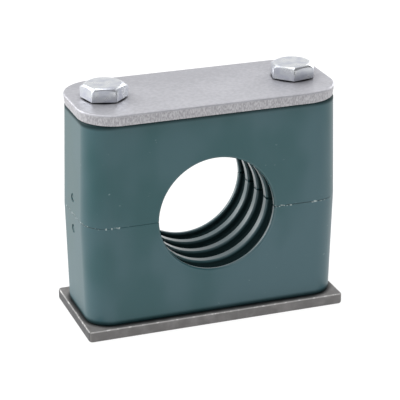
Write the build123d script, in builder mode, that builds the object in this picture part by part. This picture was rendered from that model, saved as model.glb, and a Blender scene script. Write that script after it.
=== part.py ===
"""Light-series hydraulic tube clamp: two moulded halves bolted between two steel plates.

X runs along the plates, Y along the tube and Z up from the underside of the weld plate.
All sizes are in millimetres and all angles in degrees.
"""

from build123d import *
import os
from math import cos, radians, tan

# Tube and bolt centres
tube_diameter = 32.0
bolt_spacing = 52.0

# Moulded halves, with their ends and depth taken on the split face
half_end_margin = 9.2
half_depth = 27.7
half_height = 27.75
half_corner_radius = 7.2
draft_angle = 1.45
outer_edge_chamfer = 0.4
bore_mouth_chamfer = 0.4

# Ribs that grip the tube, with the end rib's width taken on the split face
end_rib_width = 1.5
groove_count = 4
groove_mouth_width = 4.6
groove_floor_width = 3.8
groove_depth = 1.4

# Both plates reach past the sides of the halves
plate_side_overhang = 1.15

# Weld plate and its two drawn collars, which are tapped for the bolts
weld_plate_end_overhang = 0.55
weld_plate_thickness = 3.0
weld_plate_corner_radius = 1.0
collar_diameter = 12.0
collar_height = 4.0
collar_root_chamfer = 0.5
collar_rim_chamfer = 0.5
collar_entry_chamfer = 1.4

# Cover plate, stamped so that its edge narrows towards the underside
cover_plate_end_inset = 0.1
cover_plate_thickness = 3.0
cover_plate_corner_radius = 10.0
cover_edge_taper = 6.0
cover_edge_chamfer = 0.3

# Hexagon bolts, each left at its own angle when it was tightened
bolt_diameter = 6.0
bolt_tip_chamfer = 0.8
bolt_tip_recess = 1.5
head_height = 4.0
head_across_flats = 10.0
head_crown_diameter = 9.5
head_chamfer_angle = 30.0
washer_face_diameter = 9.0
washer_face_height = 0.3
left_head_turn = -16.0
right_head_turn = 13.0

# Clearances
thread_clearance = 0.05
bolt_hole_clearance = 0.5
collar_pocket_clearance = 0.3
collar_pocket_headroom = 0.8

# Lengths, spacings, levels and radii that follow from the sizes above
half_length = bolt_spacing + 2 * half_end_margin
plate_width = half_depth + 2 * plate_side_overhang
weld_plate_length = half_length + 2 * weld_plate_end_overhang
cover_plate_length = half_length - 2 * cover_plate_end_inset
groove_pitch = (half_depth - 2 * end_rib_width - groove_mouth_width) / (groove_count - 1)
split_level = weld_plate_thickness + half_height
halves_top_level = split_level + half_height
cover_top_level = halves_top_level + cover_plate_thickness
bore_radius = tube_diameter / 2
bolt_radius = bolt_diameter / 2
bolt_hole_radius = bolt_radius + bolt_hole_clearance
tapped_hole_radius = bolt_radius + thread_clearance
collar_radius = collar_diameter / 2
collar_pocket_radius = collar_radius + collar_pocket_clearance
groove_floor_radius = bore_radius + groove_depth
bore_axis = Axis((0, 0, split_level), (0, 1, 0))

os.makedirs("parts", exist_ok=True)

# The weld plate is flat steel, with two collars drawn up through it into the lower half.
# Each collar is tapped right through, and its mouth underneath is open where it was drawn.
with BuildPart() as weld_plate:
    with BuildSketch(Plane.XY):
        RectangleRounded(weld_plate_length, plate_width, weld_plate_corner_radius)
    extrude(amount=weld_plate_thickness)
    with BuildSketch(Plane.XY.offset(weld_plate_thickness)):
        with GridLocations(bolt_spacing, 0, 2, 1):
            Circle(collar_radius)
    extrude(amount=collar_height)
    collar_edges = weld_plate.edges().filter_by(GeomType.CIRCLE).filter_by(
        lambda edge: abs(edge.radius - collar_radius) < 0.01
    )
    chamfer(collar_edges.group_by(Axis.Z)[0], length=collar_root_chamfer)
    chamfer(collar_edges.group_by(Axis.Z)[-1], length=collar_rim_chamfer)
    with Locations(Plane.XY.offset(weld_plate_thickness + collar_height)):
        with GridLocations(bolt_spacing, 0, 2, 1):
            Hole(radius=tapped_hole_radius)
    tapped_hole_edges = weld_plate.edges().filter_by(GeomType.CIRCLE).filter_by(
        lambda edge: abs(edge.radius - tapped_hole_radius) < 0.01
    )
    chamfer(tapped_hole_edges.group_by(Axis.Z)[0], length=collar_entry_chamfer)
weld_plate.part.label = "weld_plate"
export_step(weld_plate.part, "parts/weld_plate.step")

# One moulding serves as both halves: it is widest at the split face and drafted away from it.
# The ribbed bore is turned out of it, and each outer face has a pocket for a weld plate collar.
for half_name, outward in (("lower_clamp_half", -1), ("upper_clamp_half", 1)):
    split_face = Plane(origin=(0, 0, split_level), x_dir=(1, 0, 0), z_dir=(0, 0, outward))
    outer_face = split_face.offset(half_height)
    outwards = Axis(split_face.origin, split_face.z_dir)
    with BuildPart() as clamp_half:
        with BuildSketch(split_face):
            RectangleRounded(half_length, half_depth, half_corner_radius)
        extrude(amount=half_height, taper=draft_angle)
        chamfer(clamp_half.faces().sort_by(outwards)[-1].edges(), length=outer_edge_chamfer)

        with BuildSketch(Plane.XY.offset(split_level)):
            with Locations((bore_radius / 2, 0)):
                Rectangle(bore_radius, 2 * half_depth)
            with GridLocations(0, groove_pitch, 1, groove_count):
                Polygon(
                    (bore_radius, -groove_mouth_width / 2),
                    (groove_floor_radius, -groove_floor_width / 2),
                    (groove_floor_radius, groove_floor_width / 2),
                    (bore_radius, groove_mouth_width / 2),
                    align=None,
                )
        revolve(axis=bore_axis, mode=Mode.SUBTRACT)
        chamfer(clamp_half.edges().filter_by(GeomType.ELLIPSE), length=bore_mouth_chamfer)

        with Locations(outer_face):
            with GridLocations(bolt_spacing, 0, 2, 1):
                CounterBoreHole(
                    radius=bolt_hole_radius,
                    counter_bore_radius=collar_pocket_radius,
                    counter_bore_depth=collar_height + collar_pocket_headroom,
                )
        pocket_circles = clamp_half.edges().filter_by(GeomType.CIRCLE).filter_by(
            lambda edge: abs(edge.radius - collar_pocket_radius) < 0.01
        )
        chamfer(pocket_circles.group_by(outwards)[-1], length=collar_root_chamfer)
    clamp_half.part.label = half_name
    export_step(clamp_half.part, f"parts/{half_name}.step")

# The cover plate is stamped from the top: eased upper edge, and sides that draw in below it.
with BuildPart() as cover_plate:
    with BuildSketch(Plane.XY.offset(cover_top_level)):
        RectangleRounded(cover_plate_length, plate_width, cover_plate_corner_radius)
    extrude(amount=-cover_plate_thickness, taper=cover_edge_taper)
    chamfer(cover_plate.faces().sort_by(Axis.Z)[-1].edges(), length=cover_edge_chamfer)
    with Locations(Plane.XY.offset(cover_top_level)):
        with GridLocations(bolt_spacing, 0, 2, 1):
            Hole(radius=bolt_hole_radius)
cover_plate.part.label = "cover_plate"
export_step(cover_plate.part, "parts/cover_plate.step")

# Two hexagon bolts run down through the cover plate and both halves into the collars.
# The head stands on a round washer face, and its upper corners are turned off at an angle.
corner_radius = head_across_flats / 2 / cos(radians(30))
chamfer_drop = (corner_radius - head_crown_diameter / 2) * tan(radians(head_chamfer_angle))
for bolt_name, side, head_turn in (("left_bolt", -1, left_head_turn), ("right_bolt", 1, right_head_turn)):
    bolt_x = side * bolt_spacing / 2
    head_seat = Plane(origin=(bolt_x, 0, cover_top_level))
    with BuildPart() as bolt:
        with BuildSketch(head_seat.offset(washer_face_height)):
            RegularPolygon(radius=corner_radius, side_count=6, rotation=head_turn)
        extrude(amount=head_height - washer_face_height)
        with BuildSketch(Plane(origin=head_seat.origin, x_dir=(1, 0, 0), z_dir=(0, -1, 0))):
            Polygon(
                (0, 0),
                (corner_radius, 0),
                (corner_radius, head_height - chamfer_drop),
                (head_crown_diameter / 2, head_height),
                (0, head_height),
                align=None,
            )
        revolve(axis=Axis(head_seat.origin, (0, 0, 1)), mode=Mode.INTERSECT)
        with BuildSketch(head_seat):
            Circle(washer_face_diameter / 2)
        extrude(amount=washer_face_height)
        with BuildSketch(head_seat):
            Circle(bolt_radius)
        extrude(amount=-(cover_top_level - bolt_tip_recess))
        chamfer(bolt.edges().sort_by(Axis.Z)[0], length=bolt_tip_chamfer)
    bolt.part.label = bolt_name
    export_step(bolt.part, f"parts/{bolt_name}.step")
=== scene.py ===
"""Looks of a light-series hydraulic tube clamp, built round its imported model.

X runs along the plates, Y along the tube and Z up from the underside of the weld plate.
Lengths are in metres, written with mm where a drawing would give millimetres.
"""

from math import copysign, cos, pi, radians, sin, tan

import bmesh
import bpy
from mathutils import Matrix, Vector


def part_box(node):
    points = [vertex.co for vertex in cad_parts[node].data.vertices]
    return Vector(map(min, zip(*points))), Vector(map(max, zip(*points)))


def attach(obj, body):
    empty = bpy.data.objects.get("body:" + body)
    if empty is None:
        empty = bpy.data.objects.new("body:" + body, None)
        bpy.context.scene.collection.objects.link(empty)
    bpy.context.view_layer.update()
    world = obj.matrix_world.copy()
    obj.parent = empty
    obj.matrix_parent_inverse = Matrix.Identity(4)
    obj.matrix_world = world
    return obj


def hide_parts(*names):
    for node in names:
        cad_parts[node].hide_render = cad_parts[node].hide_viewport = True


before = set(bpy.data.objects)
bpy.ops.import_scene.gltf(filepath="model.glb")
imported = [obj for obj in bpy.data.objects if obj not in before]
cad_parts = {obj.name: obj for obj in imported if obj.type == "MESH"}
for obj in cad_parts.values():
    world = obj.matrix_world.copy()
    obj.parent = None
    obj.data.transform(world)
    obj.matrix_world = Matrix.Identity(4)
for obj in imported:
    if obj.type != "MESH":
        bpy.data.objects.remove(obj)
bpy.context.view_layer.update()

# ---------------------------------------------------------------------------
# Weld plate: hot-rolled steel strip, sheared to length and dark with mill scale, chipped bright
# along its top edges. Two collars are drawn up through it and tapped M6, and it carries the lower
# half. The whole clamp stands on it.
# ---------------------------------------------------------------------------

mm = 0.001
bolt_spacing = 52 * mm
weld_plate_low, weld_plate_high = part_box("weld_plate")
weld_plate_length = weld_plate_high.x - weld_plate_low.x
plate_width = weld_plate_high.y - weld_plate_low.y
weld_plate_thickness = 3 * mm
weld_plate_corner_radius = 1.0 * mm
weld_plate_rolled_edge = 0.6 * mm
weld_plate_top_edge = 0.35 * mm
collar_radius = 6 * mm
collar_root_flare = 0.5 * mm
collar_top_level = weld_plate_high.z
tapped_hole_radius = 3.05 * mm
tapped_hole_mouth_radius = 4.45 * mm
mill_scale = (0.153, 0.148, 0.146, 1)
mill_scale_worn = (0.220, 0.213, 0.211, 1)
sheared_steel = (0.078, 0.078, 0.080, 1)
bare_steel = (0.62, 0.61, 0.60, 1)
# Painted shade beside the lower half's foot.
painted_shade_steel = (0.008, 0.012, 0.013, 1)
half_low, half_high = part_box("upper_clamp_half")
half_length = half_high.x - half_low.x
half_depth = half_high.y - half_low.y
half_height = half_high.z - half_low.z
half_corner_radius = 7.2 * mm
draft_angle = 1.45
draft = half_height * tan(radians(draft_angle))
past_face = 1 * mm


def rounded_block(length, width, height, corner_radius, draft=0.0, corner_steps=16):
    """A block on Z = 0 with its upright corners rounded, drawn in by draft all round its top."""
    block = bmesh.new()
    bmesh.ops.create_cube(block, size=1)
    bmesh.ops.scale(block, vec=(length, width, height), verts=block.verts)
    bmesh.ops.translate(block, vec=(0, 0, height / 2), verts=block.verts)
    soften(block, uprights(block, height / 2), corner_radius, corner_steps)
    for vertex in block.verts:
        if vertex.co.z > height / 2:
            for axis, half_size in ((0, length / 2), (1, width / 2)):
                flat = half_size - corner_radius
                past_flat = abs(vertex.co[axis]) - flat
                if past_flat > 0:
                    drawn_in = flat + past_flat * (1 - draft / corner_radius)
                    vertex.co[axis] = copysign(drawn_in, vertex.co[axis])
    return block


def soften(shape, edges, radius, steps=3):
    """Rounds the given edges of a shape."""
    bmesh.ops.bevel(
        shape,
        geom=edges,
        offset=radius,
        offset_type="OFFSET",
        segments=steps,
        profile=0.5,
        affect="EDGES",
        material=-1,
    )


def uprights(shape, shortest):
    """The edges of a shape that rise by more than the given height."""
    return [edge for edge in shape.edges if abs(edge.verts[0].co.z - edge.verts[1].co.z) > shortest]


def edges_at(shape, level):
    """The edges of a shape that lie at one level."""
    return [edge for edge in shape.edges if all(abs(end.co.z - level) < 0.001 * mm for end in edge.verts)]


def turned(outline, steps=96):
    """A closed solid turned about Z from (radius, height, rounding) corners, first and last on the axis."""
    shape = bmesh.new()
    corners = [shape.verts.new((radius, 0, height)) for radius, height, rounding in outline]
    shape.faces.new(corners)
    for corner, (radius, height, rounding) in zip(corners, outline):
        if rounding:
            bmesh.ops.bevel(
                shape,
                geom=[corner],
                offset=rounding,
                offset_type="OFFSET",
                segments=5,
                profile=0.5,
                affect="VERTICES",
                material=-1,
            )
    bmesh.ops.delete(shape, geom=shape.faces[:], context="FACES_ONLY")
    on_axis = [edge for edge in shape.edges if all(vertex.co.x < 0.001 * mm for vertex in edge.verts)]
    bmesh.ops.delete(shape, geom=on_axis, context="EDGES")
    bmesh.ops.spin(
        shape,
        geom=shape.verts[:] + shape.edges[:],
        cent=(0, 0, 0),
        axis=(0, 0, 1),
        angle=2 * pi,
        steps=steps,
        use_merge=True,
    )
    bmesh.ops.remove_doubles(shape, verts=shape.verts, dist=0.0001 * mm)
    bmesh.ops.recalc_face_normals(shape, faces=shape.faces)
    return shape


def moved(shape, x=0.0, y=0.0, z=0.0, turn=0.0, about="Z"):
    """A shape turned about an axis through the origin, by degrees, and then moved."""
    turning = Matrix.Rotation(radians(turn), 3, about)
    bmesh.ops.rotate(shape, cent=(0, 0, 0), matrix=turning, verts=shape.verts)
    bmesh.ops.translate(shape, vec=(x, y, z), verts=shape.verts)
    return shape


def piece_of(shape, name):
    """Makes a shape an object of the scene."""
    mesh = bpy.data.meshes.new(name)
    shape.to_mesh(mesh)
    shape.free()
    piece = bpy.data.objects.new(name, mesh)
    bpy.context.scene.collection.objects.link(piece)
    return piece


def carve(piece, tool_shape, operation="DIFFERENCE"):
    """Cuts a shape out of a piece, joins it on, or keeps what both fill.

    A cutting shape reaches at least past_face beyond each face that it cuts through.
    """
    tool = piece_of(tool_shape, "tool")
    cut = piece.modifiers.new("cut", "BOOLEAN")
    cut.solver = "EXACT"
    cut.operation = operation
    cut.object = tool
    before = piece.data
    carved = bpy.data.meshes.new_from_object(piece.evaluated_get(bpy.context.evaluated_depsgraph_get()))
    piece.modifiers.clear()
    piece.data = carved
    carved.name = piece.name
    bpy.data.objects.remove(tool)
    bpy.data.meshes.remove(before)


def dress(piece, material):
    """Gives a piece its finish, and smooth shading that keeps its flat faces flat."""
    piece.data.materials.clear()
    piece.data.materials.append(material)
    piece.data.shade_smooth()
    flats = piece.modifiers.new("flats", "WEIGHTED_NORMAL")
    flats.mode = "FACE_AREA"
    flats.weight = 80


class Tone:
    """One output of a finish's nodes. Arithmetic on it adds Math nodes, and add() any other node."""

    def __init__(self, tree, socket=None):
        self.tree = tree
        self.socket = socket

    def add(self, kind, settings=None, inputs=None, output=0):
        node = self.tree.nodes.new("ShaderNode" + kind)
        for name, value in (settings or {}).items():
            setattr(node, name, value)
        self.feed(node, inputs or {})
        return Tone(self.tree, node.outputs[output])

    def feed(self, node, inputs):
        for name, value in inputs.items():
            if isinstance(value, Tone):
                self.tree.links.new(value.socket, node.inputs[name])
            else:
                node.inputs[name].default_value = value

    def maths(self, operation, first, second):
        return self.add("Math", {"operation": operation}, {0: first, 1: second})

    def axes(self):
        """The X, Y and Z of these coordinates, each by itself."""
        return [self.add("SeparateXYZ", None, {0: self}, axis) for axis in range(3)]

    def __add__(self, other):
        return self.maths("ADD", self, other)

    def __sub__(self, other):
        return self.maths("SUBTRACT", self, other)

    def __rsub__(self, other):
        return self.maths("SUBTRACT", other, self)

    def __mul__(self, other):
        return self.maths("MULTIPLY", self, other)

    def __abs__(self):
        return self.maths("ABSOLUTE", self, 0.0)

    __radd__ = __add__
    __rmul__ = __mul__

    def larger(self, other):
        return self.maths("MAXIMUM", self, other)

    def root(self):
        return self.maths("POWER", self, 0.5)

    def cloud(self, size, detail=2.0, stretch=(1, 1, 1)):
        """Soft noise on these coordinates, with features of about the given size."""
        place = self.add("VectorMath", {"operation": "DIVIDE"}, {0: self, 1: stretch})
        return place.add("TexNoise", None, {"Vector": place, "Scale": 1 / size, "Detail": detail})

    def band(self, low, high):
        """Rises smoothly from 0 at low to 1 at high."""
        settings = {"interpolation_type": "SMOOTHSTEP"}
        return self.add("MapRange", settings, {"Value": self, "From Min": low, "From Max": high})

    def mix(self, first, second):
        """The first colour where this is 0, and the second where it is 1."""
        return self.add("Mix", {"data_type": "RGBA"}, {0: self, 6: first, 7: second}, 2)


def finish(name):
    """A new material with its shader and its Object coordinates."""
    material = bpy.data.materials.new(name)
    material.use_nodes = True
    shader = material.node_tree.nodes["Principled BSDF"]
    return material, shader, Tone(material.node_tree).add("TexCoord", output="Object")


def drawn_collar():
    """A collar before it is tapped: a turned plug that starts halfway through the plate."""
    return turned(
        [
            (0, weld_plate_thickness / 2, 0),
            (collar_radius + collar_root_flare, weld_plate_thickness / 2, 0),
            (collar_radius + collar_root_flare, weld_plate_thickness, 0),
            (collar_radius, weld_plate_thickness + collar_root_flare, 0.2 * mm),
            (collar_radius, collar_top_level, 0.5 * mm),
            (0, collar_top_level, 0),
        ]
    )


weld_plate_shape = rounded_block(
    weld_plate_length,
    plate_width,
    weld_plate_thickness,
    weld_plate_corner_radius,
)
soften(weld_plate_shape, edges_at(weld_plate_shape, 0), weld_plate_rolled_edge)
soften(weld_plate_shape, edges_at(weld_plate_shape, weld_plate_thickness), weld_plate_top_edge)
weld_plate = piece_of(weld_plate_shape, "weld_plate_steel")
for side in (-1, 1):
    bolt_x = side * bolt_spacing / 2
    carve(weld_plate, moved(drawn_collar(), x=bolt_x), "UNION")
    tapped_hole = turned(
        [
            (0, -past_face, 0),
            (tapped_hole_mouth_radius + past_face, -past_face, 0),
            (tapped_hole_radius, tapped_hole_mouth_radius - tapped_hole_radius, 0.5 * mm),
            (tapped_hole_radius, collar_top_level + past_face, 0),
            (0, collar_top_level + past_face, 0),
        ]
    )
    carve(weld_plate, moved(tapped_hole, x=bolt_x))


def beyond_flat(ordinate, half_size):
    """How far a point lies beyond the flat stretch of a moulded half's outer face, along one axis."""
    return (abs(ordinate) - (half_size - draft - half_corner_radius)).larger(0)


scaled_steel, shader, place = finish("mill_scaled_steel")
x, y, z = place.axes()
on_top = z.band(weld_plate_thickness - weld_plate_top_edge, weld_plate_thickness - 0.1 * mm)
at_end = abs(x).band(weld_plate_length / 2 - 0.4 * mm, weld_plate_length / 2 - 0.2 * mm)
at_side = abs(y).band(plate_width / 2 - 0.4 * mm, plate_width / 2 - 0.2 * mm)
top_edge = on_top * at_end.larger(at_side)
chips = place.cloud(1.5 * mm, 3).band(0.52, 0.62)
mottle = place.cloud(3.5 * mm, 5).band(0.35, 0.7)
grain = place.cloud(0.35 * mm, 3)
past_x = beyond_flat(x, half_length / 2)
past_y = beyond_flat(y, half_depth / 2)
from_corner_centre = (past_x * past_x + past_y * past_y).root()
# Painted shade: the plate's top is darkened under and just round the lower half's foot, and less past the
# half's ends.
painted_foot_shade = (1 - from_corner_centre.band(half_corner_radius + 0.1 * mm, half_corner_radius + 1.6 * mm)) * on_top
past_half = abs(x).band(half_length / 2 - 1.2 * mm, half_length / 2 + 0.8 * mm)
painted_foot_shade = painted_foot_shade * (0.95 - past_half * 0.3)
sheared_end = abs(x).band(weld_plate_length / 2 - 0.3 * mm, weld_plate_length / 2 - 0.05 * mm)
colour = sheared_end.mix(mottle.mix(mill_scale, mill_scale_worn), sheared_steel)
colour = (top_edge * (chips * 0.5 + 0.45)).mix(colour, bare_steel)
colour = painted_foot_shade.mix(colour, painted_shade_steel)
bump = place.add("Bump", None, {"Strength": 0.5, "Distance": 0.05 * mm, "Height": grain + mottle})
place.feed(
    shader,
    {
        "Base Color": colour,
        "Metallic": 0.12,
        "Specular IOR Level": 0.3,
        "Roughness": mottle * 0.15 + 0.5,
        "Normal": bump,
    },
)
dress(weld_plate, scaled_steel)
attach(weld_plate, "clamp_base")
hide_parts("weld_plate")

# ---------------------------------------------------------------------------
# Clamp halves: one injection moulding in green polypropylene, used twice, with its split faces
# together. It is drafted away from the split, ribbed inside to grip the tube, and pocketed for the
# collars. The lower one rests on the weld plate and the upper one carries the cover plate.
# ---------------------------------------------------------------------------

split_level = half_low.z
outer_edge_radius = 0.6 * mm
split_edge_radius = 0.12 * mm
bore_radius = 16 * mm
bore_mouth_radius = 0.5 * mm
bore_past_split = 0.5 * mm
groove_count = 4
groove_pitch = 6.7 * mm
groove_mouth_width = 4.4 * mm
groove_floor_width = 3.8 * mm
groove_depth = 1.4 * mm
rib_rounding = 0.35 * mm
bolt_hole_radius = 3.5 * mm
collar_pocket_radius = 6.3 * mm
collar_pocket_depth = 4.8 * mm
collar_pocket_chamfer = 0.5 * mm
polypropylene = (0.003, 0.061, 0.069, 1)
polypropylene_greyer = (0.034, 0.093, 0.112, 1)
polypropylene_shaded = (0.007, 0.020, 0.022, 1)
seam_shadow = (0.006, 0.014, 0.015, 1)
torn_flash = (0.42, 0.50, 0.50, 1)
scuffed = (0.10, 0.17, 0.18, 1)
end_mark_radius = 1.2 * mm
end_mark_depth = 0.28 * mm
end_mark_island_height = 0.17 * mm
end_mark_height = 5.2 * mm


def bore_core():
    """The core that forms the bore: grooves between the ribs, each rib with rounded corners."""
    reach = half_depth / 2 + 2 * mm
    outline = [(0, -reach, 0), (bore_radius, -reach, 0)]
    for number in range(groove_count):
        middle = (number - (groove_count - 1) / 2) * groove_pitch
        outline.append((bore_radius, middle - groove_mouth_width / 2, rib_rounding))
        outline.append((bore_radius + groove_depth, middle - groove_floor_width / 2, rib_rounding))
        outline.append((bore_radius + groove_depth, middle + groove_floor_width / 2, rib_rounding))
        outline.append((bore_radius, middle + groove_mouth_width / 2, rib_rounding))
    outline += [(bore_radius, reach, 0), (0, reach, 0)]
    steps = 160
    core = turned(outline, steps)
    moved(core, turn=180 / steps)
    return moved(core, turn=-90, about="X")


def bolt_core():
    """The core that forms a bolt hole and the collar pocket at its outer end."""
    floor_level = half_height - collar_pocket_depth
    return turned(
        [
            (0, -past_face, 0),
            (bolt_hole_radius, -past_face, 0),
            (bolt_hole_radius, floor_level, 0),
            (collar_pocket_radius, floor_level, 0),
            (collar_pocket_radius, half_height - collar_pocket_chamfer, 0),
            (collar_pocket_radius + collar_pocket_chamfer + past_face, half_height + past_face, 0),
            (0, half_height + past_face, 0),
        ],
        64,
    )


def end_mark_core():
    """The face of an ejector pin, which leaves a shallow ring with an island in the left end."""
    reach = 2 * mm
    pin = turned(
        [
            (0, end_mark_island_height, 0),
            (end_mark_radius * 0.6, end_mark_island_height, 0.06 * mm),
            (end_mark_radius * 0.7, 0, 0.06 * mm),
            (end_mark_radius, 0, 0.08 * mm),
            (end_mark_radius, reach, 0),
            (0, reach, 0),
        ],
        48,
    )
    moved(pin, z=half_length / 2 - end_mark_depth - draft * end_mark_height / half_height)
    return moved(moved(pin, turn=-90 - draft_angle, about="Y"), z=end_mark_height)


def mouth_edges(shape):
    """The edges where the bore runs out through the front and back walls."""
    found = []
    for edge in shape.edges:
        on_bore = all(
            abs(Vector((end.co.x, end.co.z + bore_past_split)).length - bore_radius) < 0.03 * mm
            for end in edge.verts
        )
        at_wall = all(abs(end.co.y) > half_depth / 2 - 0.6 * mm for end in edge.verts)
        if on_bore and at_wall and edge.calc_face_angle(0) > radians(60):
            found.append(edge)
    return found


def moulded_half(name):
    """One half with its split face on Z = 0 and its outer face above."""
    shape = rounded_block(half_length, half_depth, half_height, half_corner_radius, draft)
    soften(shape, edges_at(shape, half_height), outer_edge_radius, 4)
    soften(shape, edges_at(shape, 0), split_edge_radius, 2)
    half = piece_of(shape, name)
    carve(half, moved(bore_core(), z=-bore_past_split))
    for side in (-1, 1):
        carve(half, moved(bolt_core(), x=side * bolt_spacing / 2))
    carve(half, end_mark_core())
    shape = bmesh.new()
    shape.from_mesh(half.data)
    soften(shape, mouth_edges(shape), bore_mouth_radius, 4)
    shape.to_mesh(half.data)
    shape.free()
    return half


green_plastic, shader, place = finish("green_polypropylene")
x, y, z = place.axes()
# Tone differs at random in blotches, and painted light is added: the moulding is lighter towards +X and
# darker higher up.
blotches_and_painted_light = place.cloud(16 * mm, 2, (1, 1, 1.6)).band(0.38, 0.62) * 0.6 + x.band(-30 * mm, 40 * mm) * 0.4
blotches_and_painted_light = blotches_and_painted_light - z.band(10 * mm, 50 * mm) * 0.3 + 0.15
grain = place.cloud(0.25 * mm, 2)
colour = blotches_and_painted_light.mix(polypropylene, polypropylene_greyer)
bump = place.add("Bump", None, {"Strength": 0.25, "Distance": 0.02 * mm, "Height": grain})
from_split = abs(z - split_level)
rise = from_split + bore_past_split
from_bore_axis = (x * x + rise * rise).root()
between_mouths = 1 - abs(y).band(half_depth / 2 - 0.85 * mm, half_depth / 2 - 0.65 * mm)
# The grooves in the bore, which are given painted shade below.
in_groove = from_bore_axis.band(bore_radius + 0.1 * mm, bore_radius + 0.8 * mm) * between_mouths
in_groove = in_groove * (1 - from_bore_axis.band(bore_radius + 1.5 * mm, bore_radius + 1.7 * mm))
on_ribs = 1 - from_bore_axis.band(bore_radius + 0.25 * mm, bore_radius + 0.7 * mm)
facing = place.add("TexCoord", output="Normal")
on_wall = 1 - abs(facing.axes()[2]).band(0.6, 0.9)
at_seam = (1 - from_split.band(0.02 * mm, 0.16 * mm)) * on_wall
seam_gaps = place.cloud(9 * mm, 3, (1, 1, 9)).band(0.36, 0.56)
flash_runs = place.cloud(14 * mm, 1, (1, 1, 9)).band(0.42, 0.55)
flash = place.cloud(0.9 * mm, 3).band(0.57, 0.63) * flash_runs * on_wall
scuffs = place.cloud(1.1 * mm, 4, (1.6, 1, 1)).band(0.7, 0.73) * place.cloud(19 * mm, 1).band(0.5, 0.65)
# Painted shade within 1.7 mm of the outer faces, under the cover plate and above the weld plate.
crevice = from_split.band(half_height - 1.7 * mm, half_height - 0.6 * mm) * 0.85
colour = scuffs.mix(colour, scuffed)
colour = (at_seam * seam_gaps * 0.9).mix(colour, seam_shadow)
colour = ((1 - from_split.band(0.15 * mm, 0.35 * mm)) * flash).mix(colour, torn_flash)
place.feed(
    shader,
    {
        "Base Color": colour,
        "Roughness": blotches_and_painted_light * 0.05 + 0.33 - on_ribs * 0.06,
        "Specular IOR Level": 0.6,
        "Coat Weight": on_ribs * 0.5,
        "Coat Roughness": 0.3,
        "Normal": bump,
    },
)
# Painted shade: the grooves and the bands by the plates get a dark shader with almost no gloss.
unlit = place.add(
    "BsdfPrincipled",
    None,
    {"Base Color": polypropylene_shaded, "Roughness": 0.8, "Specular IOR Level": 0.1},
)
painted_shade_mask = in_groove.larger(crevice)
both = place.add("MixShader", None, {0: painted_shade_mask, 1: Tone(place.tree, shader.outputs[0]), 2: unlit})
place.feed(green_plastic.node_tree.nodes["Material Output"], {"Surface": both})

for name, body, node, turn in (
    ("lower_half_moulding", "clamp_base", "lower_clamp_half", 180),
    ("upper_half_moulding", "clamp_top", "upper_clamp_half", 0),
):
    half = moulded_half(name)
    half.data.transform(Matrix.Translation((0, 0, split_level)) @ Matrix.Rotation(radians(turn), 4, "X"))
    dress(half, green_plastic)
    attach(half, body)
    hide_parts(node)

# ---------------------------------------------------------------------------
# Cover plate: steel stamped out from above, so its top edge is rolled over and its sides are torn
# and draw in below. It lies on the upper half and spreads the pull of the two bolts.
# ---------------------------------------------------------------------------

cover_low, cover_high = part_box("cover_plate")
cover_thickness = cover_high.z - cover_low.z
cover_corner_radius = 10 * mm
cover_taper = cover_thickness * tan(radians(6))
cover_top_edge = 0.45 * mm
cover_bottom_edge = 0.15 * mm
cover_hole_edge = 0.3 * mm
cover_steel = (0.51, 0.51, 0.545, 1)
cover_steel_dull = (0.39, 0.39, 0.42, 1)
cover_steel_smudged = (0.30, 0.30, 0.33, 1)
under_head_shade = (0.05, 0.05, 0.06, 1)
torn_steel = (0.33, 0.325, 0.345, 1)
torn_steel_bright = (0.50, 0.495, 0.515, 1)

cover_shape = rounded_block(
    cover_high.x - cover_low.x,
    cover_high.y - cover_low.y,
    cover_thickness,
    cover_corner_radius,
    cover_taper,
    24,
)
soften(cover_shape, edges_at(cover_shape, 0), cover_top_edge, 4)
soften(cover_shape, edges_at(cover_shape, cover_thickness), cover_bottom_edge, 2)
cover = piece_of(moved(cover_shape, z=cover_high.z, turn=180, about="X"), "cover_plate_steel")
for side in (-1, 1):
    hole = turned(
        [
            (0, cover_low.z - past_face, 0),
            (bolt_hole_radius, cover_low.z - past_face, 0),
            (bolt_hole_radius, cover_high.z - cover_hole_edge, cover_hole_edge),
            (bolt_hole_radius + cover_hole_edge + past_face, cover_high.z + past_face, 0),
            (0, cover_high.z + past_face, 0),
        ],
        64,
    )
    carve(cover, moved(hole, x=side * bolt_spacing / 2))

stamped_steel, shader, place = finish("stamped_steel")
x, y, z = place.axes()
side_face = 1 - z.band(cover_high.z - 0.55 * mm, cover_high.z - 0.35 * mm)
tears = place.cloud(0.32 * mm, 3, (1, 1, 2.5)).band(0.35, 0.65)
speckle = place.cloud(0.9 * mm, 3).band(0.3, 0.7)
rolled = place.cloud(11 * mm, 3, (1.8, 1, 1)).band(0.35, 0.65)
past_bolt = abs(x) - bolt_spacing / 2
from_bolt = (past_bolt * past_bolt + y * y).root()
smudge = (1 - from_bolt.band(6 * mm, 9 * mm)) * place.cloud(2.5 * mm, 3).band(0.4, 0.6)
# The top turns duller towards its back.
duller_towards_back = y.band(-8 * mm, 12 * mm) * 0.5
top_colour = (rolled * 0.4 + speckle * 0.4 + duller_towards_back).mix(cover_steel, cover_steel_dull)
top_colour = (smudge * 0.5).mix(top_colour, cover_steel_smudged)
top_colour = (1 - from_bolt.band(5.3 * mm, 6.1 * mm)).mix(top_colour, under_head_shade)
colour = side_face.mix(top_colour, tears.mix(torn_steel, torn_steel_bright))
height = side_face * tears * 2.0 + speckle * 0.4
bump = place.add("Bump", None, {"Strength": 0.5, "Distance": 0.05 * mm, "Height": height})
place.feed(
    shader,
    {
        "Base Color": colour,
        "Metallic": 0.65,
        "Roughness": speckle * 0.08 + 0.46 + side_face * 0.06,
        "Normal": bump,
    },
)
dress(cover, stamped_steel)
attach(cover, "clamp_top")
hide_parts("cover_plate")

# ---------------------------------------------------------------------------
# Bolts: M6 hexagon screws, cold headed, threaded to the head and zinc plated. Each head stands on a
# round washer face, its upper corners turned off at 30 degrees, and is left at its own angle.
# ---------------------------------------------------------------------------

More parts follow.
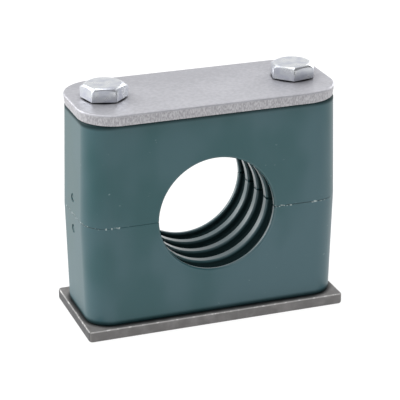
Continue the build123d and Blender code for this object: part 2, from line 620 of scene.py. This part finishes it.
head_seat = cover_high.z
head_height = 4 * mm
head_across_flats = 10.8 * mm
head_crown_radius = 4.4 * mm
head_chamfer_angle = 30
head_corner_edge = 0.2 * mm
washer_face_radius = 4.5 * mm
washer_face_height = 0.35 * mm
thread_radius = 3 * mm
thread_root_radius = 2.39 * mm
thread_pitch = 1 * mm
thread_steps = 24
shank_end_chamfer = 0.8 * mm
thread_runout = 1.5 * mm
thread_runout_radius = 2.79 * mm
thread_runout_step = 0.5 * mm
zinc = (0.62, 0.64, 0.66, 1)
zinc_dull = (0.50, 0.52, 0.58, 1)
# Painted shade under the heads.
painted_head_shadow = (0.012, 0.012, 0.016, 1)


def bolt_head(turn):
    """A hexagon prism kept inside a turned blank, which leaves the scalloped chamfer."""
    corner = head_across_flats / 2 / cos(pi / 6)
    chamfer_slope = tan(radians(head_chamfer_angle))
    chamfer_drop = (corner - head_crown_radius) * chamfer_slope
    prism = bmesh.new()
    bmesh.ops.create_cone(
        prism, cap_ends=True, segments=6, radius1=corner, radius2=corner, depth=head_height + 2 * past_face
    )
    moved(prism, z=head_height / 2, turn=turn + 90)
    soften(prism, uprights(prism, head_height), head_corner_edge)
    head = piece_of(prism, "head")
    blank = turned(
        [
            (0, 0, 0),
            (washer_face_radius, 0, 0.08 * mm),
            (washer_face_radius, washer_face_height, 0),
            (corner + past_face, washer_face_height, 0),
            (corner + past_face, head_height - chamfer_drop - past_face * chamfer_slope, 0),
            (head_crown_radius, head_height, 0.25 * mm),
            (0, head_height, 0),
        ]
    )
    carve(head, blank, "INTERSECT")
    shape = bmesh.new()
    shape.from_mesh(head.data)
    bpy.data.objects.remove(head)
    return moved(shape, z=head_seat)


def threaded_shank(low, high):
    """A right-hand thread along a whole shank, chamfered at its tip and run out under the head."""
    flank = (thread_radius - thread_root_radius) * tan(radians(30))
    crest = thread_pitch / 8
    shank = bmesh.new()
    start = low - thread_pitch
    profile = [
        (thread_root_radius, 0),
        (thread_radius, flank),
        (thread_radius, flank + crest),
        (thread_root_radius, 2 * flank + crest),
        (thread_root_radius, thread_pitch),
    ]
    points = [shank.verts.new((radius, 0, start + height)) for radius, height in profile]
    for first, second in zip(points, points[1:]):
        shank.edges.new((first, second))
    turns = round((high - low) / thread_pitch) + 2
    bmesh.ops.spin(
        shank,
        geom=shank.verts[:] + shank.edges[:],
        cent=(0, 0, 0),
        axis=(0, 0, 1),
        dvec=(0, 0, thread_pitch / thread_steps),
        angle=2 * pi * turns,
        steps=turns * thread_steps,
        use_merge=False,
    )
    bmesh.ops.remove_doubles(shank, verts=shank.verts, dist=0.001 * mm)
    for level, up in ((low, -1), (high, 1)):
        bmesh.ops.bisect_plane(
            shank,
            geom=shank.verts[:] + shank.edges[:] + shank.faces[:],
            plane_co=(0, 0, level),
            plane_no=(0, 0, up),
            clear_outer=True,
        )
    bmesh.ops.holes_fill(shank, edges=[edge for edge in shank.edges if edge.is_boundary])
    for vertex in shank.verts:
        radius = Vector((vertex.co.x, vertex.co.y)).length
        tip_limit = thread_radius - max(0, shank_end_chamfer - (vertex.co.z - low))
        under_head = min(1, max(0, (vertex.co.z - (high - thread_runout)) / thread_runout_step))
        wanted = min(radius, tip_limit)
        wanted += (thread_runout_radius - wanted) * under_head
        vertex.co.x *= wanted / radius
        vertex.co.y *= wanted / radius
    bmesh.ops.recalc_face_normals(shank, faces=shank.faces)
    return shank


zinc_plate, shader, place = finish("zinc_plate")
bloom = place.cloud(2.2 * mm, 4).band(0.35, 0.7)
grain = place.cloud(0.4 * mm, 3)
dents = place.cloud(1.3 * mm, 1)
colour = bloom.mix(zinc, zinc_dull)
above_seat = place.axes()[2] - head_seat
above_washer_face = above_seat.band(washer_face_height, washer_face_height + 0.06 * mm)
# Painted shade: the washer face under each head is darkened as the head's shadow.
under_head = above_seat.band(-0.05 * mm, 0) * (1 - above_washer_face)
colour = under_head.mix(colour, painted_head_shadow)
height = grain * 0.25 + dents
bump = place.add("Bump", None, {"Strength": 0.4, "Distance": 0.05 * mm, "Height": height})
place.feed(shader, {"Base Color": colour, "Metallic": 0.9, "Roughness": bloom * 0.1 + 0.27, "Normal": bump})

for name, side, turn in (("left_bolt", -1, -16), ("right_bolt", 1, 13)):
    tip_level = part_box(name)[0].z
    shank = piece_of(threaded_shank(tip_level, head_seat + 0.1 * mm), "shank")
    carve(shank, bolt_head(turn), "UNION")
    shank.name = name + "_zinc"
    shank.data.transform(Matrix.Translation((side * bolt_spacing / 2, 0, 0)))
    dress(shank, zinc_plate)
    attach(shank, name + "_body")
    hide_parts(name)

# ---------------------------------------------------------------------------
# Studio: a white sweep in a white room that is dimmer at its front, with broad soft light from the
# left and a fill from the right. The camera looks down on the clamp from its front left.
# ---------------------------------------------------------------------------

white = (1, 1, 1, 1)
sweep_colour = (0.82, 0.82, 0.82, 1)
sweep_colour_seen = (0.2, 0.2, 0.2, 1)
sweep_glow = 0.86
ambient_light = 0.85
room_front_light = 0.22


def seen_directly(start):
    """1 for camera, glossy and transmission rays, and 0 for the light that falls on things."""
    by_camera = start.add("LightPath", output="Is Camera Ray")
    in_gloss = start.add("LightPath", output="Is Glossy Ray")
    through = start.add("LightPath", output="Is Transmission Ray")
    return by_camera.larger(in_gloss).larger(through)


world = bpy.data.worlds.new("white_room")
bpy.context.scene.world = world
world.use_nodes = True
room = Tone(world.node_tree)
direction = room.add("TexCoord", output="Generated")
rightward, backward, upward = direction.axes()
papered = (backward - rightward * 0.6 + upward * 0.5).band(-0.4, 0.4)
white_paper = papered * (1 - room_front_light) + room_front_light
by_camera = room.add("LightPath", output="Is Camera Ray")
in_gloss = room.add("LightPath", output="Is Glossy Ray")
lit = in_gloss * (white_paper - ambient_light) + ambient_light
room.feed(world.node_tree.nodes["Background"], {"Color": white, "Strength": by_camera.larger(lit)})

sweep_shape = bmesh.new()
bmesh.ops.create_grid(sweep_shape, x_segments=1, y_segments=1, size=3)
sweep = piece_of(sweep_shape, "sweep")
sweep_finish = bpy.data.materials.new("white_sweep")
sweep_finish.use_nodes = True
directly = seen_directly(Tone(sweep_finish.node_tree))
directly.feed(
    sweep_finish.node_tree.nodes["Principled BSDF"],
    {
        "Base Color": directly.mix(sweep_colour, sweep_colour_seen),
        "Roughness": 0.9,
        "Specular IOR Level": 0.0,
        "Emission Color": white,
        "Emission Strength": directly * sweep_glow,
    },
)
sweep.data.materials.append(sweep_finish)

lit_point = Vector((0, 0, 30 * mm))
for name, stands_at, size, power in (
    ("left_softbox", (-0.9, 0.6, 0.4), 1.1, 11),
    ("right_softbox", (1.0, 0.5, 0.3), 0.8, 7),
    ("top_softbox", (-0.3, -0.3, 1.2), 0.9, 5),
):
    lamp = bpy.data.lights.new(name, "AREA")
    lamp.shape = "SQUARE"
    lamp.size = size
    lamp.energy = power
    softbox = bpy.data.objects.new(name, lamp)
    bpy.context.scene.collection.objects.link(softbox)
    softbox.location = stands_at
    softbox.rotation_mode = "QUATERNION"
    softbox.rotation_quaternion = (lit_point - Vector(stands_at)).to_track_quat("-Z", "Y")
    softbox.visible_camera = False

camera_azimuth = radians(-19.97)
camera_elevation = radians(22.006)
camera_distance = 0.484
aim = Vector((0.1 * mm, 0, 29.56 * mm))
toward_camera = Vector(
    (
        sin(camera_azimuth) * cos(camera_elevation),
        -cos(camera_azimuth) * cos(camera_elevation),
        sin(camera_elevation),
    )
)
camera = bpy.data.objects.new("camera", bpy.data.cameras.new("camera"))
bpy.context.scene.collection.objects.link(camera)
camera.data.sensor_width = 36
camera.data.lens = 163.3
camera.data.clip_start = 0.01
camera.location = aim + toward_camera * camera_distance
camera.rotation_mode = "QUATERNION"
camera.rotation_quaternion = (-toward_camera).to_track_quat("-Z", "Y")
bpy.context.scene.camera = camera
bpy.context.scene.view_settings.view_transform = "Standard"
